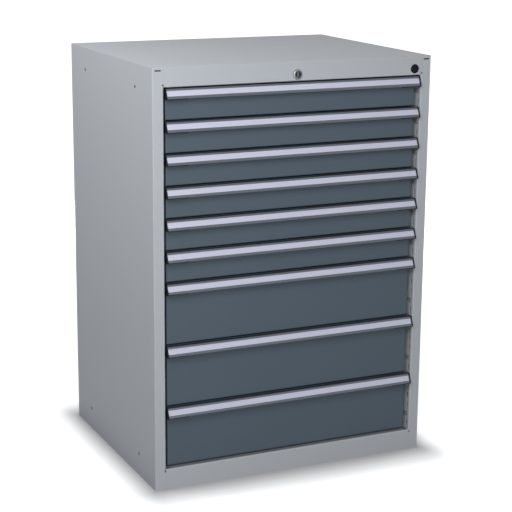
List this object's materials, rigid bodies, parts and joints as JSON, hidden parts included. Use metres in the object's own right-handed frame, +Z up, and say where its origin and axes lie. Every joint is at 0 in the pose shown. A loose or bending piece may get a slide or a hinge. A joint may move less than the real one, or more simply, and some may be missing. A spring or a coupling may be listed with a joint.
{
  "type": "workshop drawer cabinet",
  "caption": "Workshop drawer cabinet: folded steel housing, full-extension drawers on telescopic roller slides, labelled bar handles and a central lock that bars every drawer.",
  "frame": {"origin": "middle of the overall footprint, on the floor, handles included", "axes": "+Z up, drawers open towards -Y, +X to the right seen from the front"},
  "size_m": [0.717, 0.5824, 1],
  "materials": {
    "housing_paint": "light grey powder coat, fine texture, satin",
    "drawer_paint": "blue-grey powder coat, satin",
    "handle_aluminium": "anodised, drawn lengthwise",
    "label_strip": "clear cover over pale paper",
    "cap_plastic": "moulded, fine grain",
    "zinc_steel": "bright zinc plate",
    "lock_chrome": "polished chrome plate",
    "black_plastic": "black, moulded"
  },
  "bodies": {
    "cabinet": {"side_panel_left": "housing_paint", "side_panel_right": "housing_paint", "back_panel": "housing_paint", "top_panel": "housing_paint", "base_panel": "housing_paint", "header_panel": "housing_paint", "plinth_panel": "housing_paint", "uprights_left": "housing_paint", "uprights_right": "housing_paint", "slide_rails_left": "zinc_steel", "slide_rails_right": "zinc_steel", "lock_cylinder": "lock_chrome", "blanking_plug": "black_plastic"},
    "lock_plug": {"lock_plug": "lock_chrome"},
    "locking_bar": {"locking_bar": "zinc_steel"},
    "drawer_1": {"drawer_1_box": "drawer_paint", "drawer_1_handle": "handle_aluminium", "drawer_1_label": "label_strip", "drawer_1_end_caps": "cap_plastic"},
    "drawer_1_bars": {"drawer_1_slide_bars": "zinc_steel"},
    "drawer_2": {"drawer_2_box": "drawer_paint", "drawer_2_handle": "handle_aluminium", "drawer_2_label": "label_strip", "drawer_2_end_caps": "cap_plastic"},
    "drawer_2_bars": {"drawer_2_slide_bars": "zinc_steel"},
    "drawer_3": {"drawer_3_box": "drawer_paint", "drawer_3_handle": "handle_aluminium", "drawer_3_label": "label_strip", "drawer_3_end_caps": "cap_plastic"},
    "drawer_3_bars": {"drawer_3_slide_bars": "zinc_steel"},
    "drawer_4": {"drawer_4_box": "drawer_paint", "drawer_4_handle": "handle_aluminium", "drawer_4_label": "label_strip", "drawer_4_end_caps": "cap_plastic"},
    "drawer_4_bars": {"drawer_4_slide_bars": "zinc_steel"},
    "drawer_5": {"drawer_5_box": "drawer_paint", "drawer_5_handle": "handle_aluminium", "drawer_5_label": "label_strip", "drawer_5_end_caps": "cap_plastic"},
    "drawer_5_bars": {"drawer_5_slide_bars": "zinc_steel"},
    "drawer_6": {"drawer_6_box": "drawer_paint", "drawer_6_handle": "handle_aluminium", "drawer_6_label": "label_strip", "drawer_6_end_caps": "cap_plastic"},
    "drawer_6_bars": {"drawer_6_slide_bars": "zinc_steel"},
    "drawer_7": {"drawer_7_box": "drawer_paint", "drawer_7_handle": "handle_aluminium", "drawer_7_label": "label_strip", "drawer_7_end_caps": "cap_plastic"},
    "drawer_7_bars": {"drawer_7_slide_bars": "zinc_steel"},
    "drawer_8": {"drawer_8_box": "drawer_paint", "drawer_8_handle": "handle_aluminium", "drawer_8_label": "label_strip", "drawer_8_end_caps": "cap_plastic"},
    "drawer_8_bars": {"drawer_8_slide_bars": "zinc_steel"},
    "drawer_9": {"drawer_9_box": "drawer_paint", "drawer_9_handle": "handle_aluminium", "drawer_9_label": "label_strip", "drawer_9_end_caps": "cap_plastic"},
    "drawer_9_bars": {"drawer_9_slide_bars": "zinc_steel"}
  },
  "joints": [
    {"name": "lock_turn", "type": "hinge", "parent": "cabinet", "child": "lock_plug", "pos_m": [0, -0.28084, 0.9695], "axis": [0, -1, 0], "range_deg": [0, 90.2]},
    {"name": "bar_lift", "type": "slide", "parent": "cabinet", "child": "locking_bar", "axis": [0, 0, 1], "range_m": [0, 0.009]},
    {"name": "drawer_1_slide", "type": "slide", "parent": "cabinet", "child": "drawer_1", "axis": [0, -1, 0], "range_m": [0, 0.46]},
    {"name": "drawer_1_bars_slide", "type": "slide", "parent": "cabinet", "child": "drawer_1_bars", "axis": [0, -1, 0], "range_m": [0, 0.2301]},
    {"name": "drawer_2_slide", "type": "slide", "parent": "cabinet", "child": "drawer_2", "axis": [0, -1, 0], "range_m": [0, 0.46]},
    {"name": "drawer_2_bars_slide", "type": "slide", "parent": "cabinet", "child": "drawer_2_bars", "axis": [0, -1, 0], "range_m": [0, 0.2301]},
    {"name": "drawer_3_slide", "type": "slide", "parent": "cabinet", "child": "drawer_3", "axis": [0, -1, 0], "range_m": [0, 0.46]},
    {"name": "drawer_3_bars_slide", "type": "slide", "parent": "cabinet", "child": "drawer_3_bars", "axis": [0, -1, 0], "range_m": [0, 0.2301]},
    {"name": "drawer_4_slide", "type": "slide", "parent": "cabinet", "child": "drawer_4", "axis": [0, -1, 0], "range_m": [0, 0.46]},
    {"name": "drawer_4_bars_slide", "type": "slide", "parent": "cabinet", "child": "drawer_4_bars", "axis": [0, -1, 0], "range_m": [0, 0.2301]},
    {"name": "drawer_5_slide", "type": "slide", "parent": "cabinet", "child": "drawer_5", "axis": [0, -1, 0], "range_m": [0, 0.46]},
    {"name": "drawer_5_bars_slide", "type": "slide", "parent": "cabinet", "child": "drawer_5_bars", "axis": [0, -1, 0], "range_m": [0, 0.2301]},
    {"name": "drawer_6_slide", "type": "slide", "parent": "cabinet", "child": "drawer_6", "axis": [0, -1, 0], "range_m": [0, 0.46]},
    {"name": "drawer_6_bars_slide", "type": "slide", "parent": "cabinet", "child": "drawer_6_bars", "axis": [0, -1, 0], "range_m": [0, 0.2301]},
    {"name": "drawer_7_slide", "type": "slide", "parent": "cabinet", "child": "drawer_7", "axis": [0, -1, 0], "range_m": [0, 0.46]},
    {"name": "drawer_7_bars_slide", "type": "slide", "parent": "cabinet", "child": "drawer_7_bars", "axis": [0, -1, 0], "range_m": [0, 0.2301]},
    {"name": "drawer_8_slide", "type": "slide", "parent": "cabinet", "child": "drawer_8", "axis": [0, -1, 0], "range_m": [0, 0.46]},
    {"name": "drawer_8_bars_slide", "type": "slide", "parent": "cabinet", "child": "drawer_8_bars", "axis": [0, -1, 0], "range_m": [0, 0.2301]},
    {"name": "drawer_9_slide", "type": "slide", "parent": "cabinet", "child": "drawer_9", "axis": [0, -1, 0], "range_m": [0, 0.46]},
    {"name": "drawer_9_bars_slide", "type": "slide", "parent": "cabinet", "child": "drawer_9_bars", "axis": [0, -1, 0], "range_m": [0, 0.2301]}
  ],
  "couplings": [
    {"joint": "lock_turn", "follows": "bar_lift", "rad_per_m": 174.53},
    {"joint": "drawer_1_bars_slide", "follows": "drawer_1_slide", "ratio": 0.5},
    {"joint": "drawer_2_bars_slide", "follows": "drawer_2_slide", "ratio": 0.5},
    {"joint": "drawer_3_bars_slide", "follows": "drawer_3_slide", "ratio": 0.5},
    {"joint": "drawer_4_bars_slide", "follows": "drawer_4_slide", "ratio": 0.5},
    {"joint": "drawer_5_bars_slide", "follows": "drawer_5_slide", "ratio": 0.5},
    {"joint": "drawer_6_bars_slide", "follows": "drawer_6_slide", "ratio": 0.5},
    {"joint": "drawer_7_bars_slide", "follows": "drawer_7_slide", "ratio": 0.5},
    {"joint": "drawer_8_bars_slide", "follows": "drawer_8_slide", "ratio": 0.5},
    {"joint": "drawer_9_bars_slide", "follows": "drawer_9_slide", "ratio": 0.5}
  ]
}
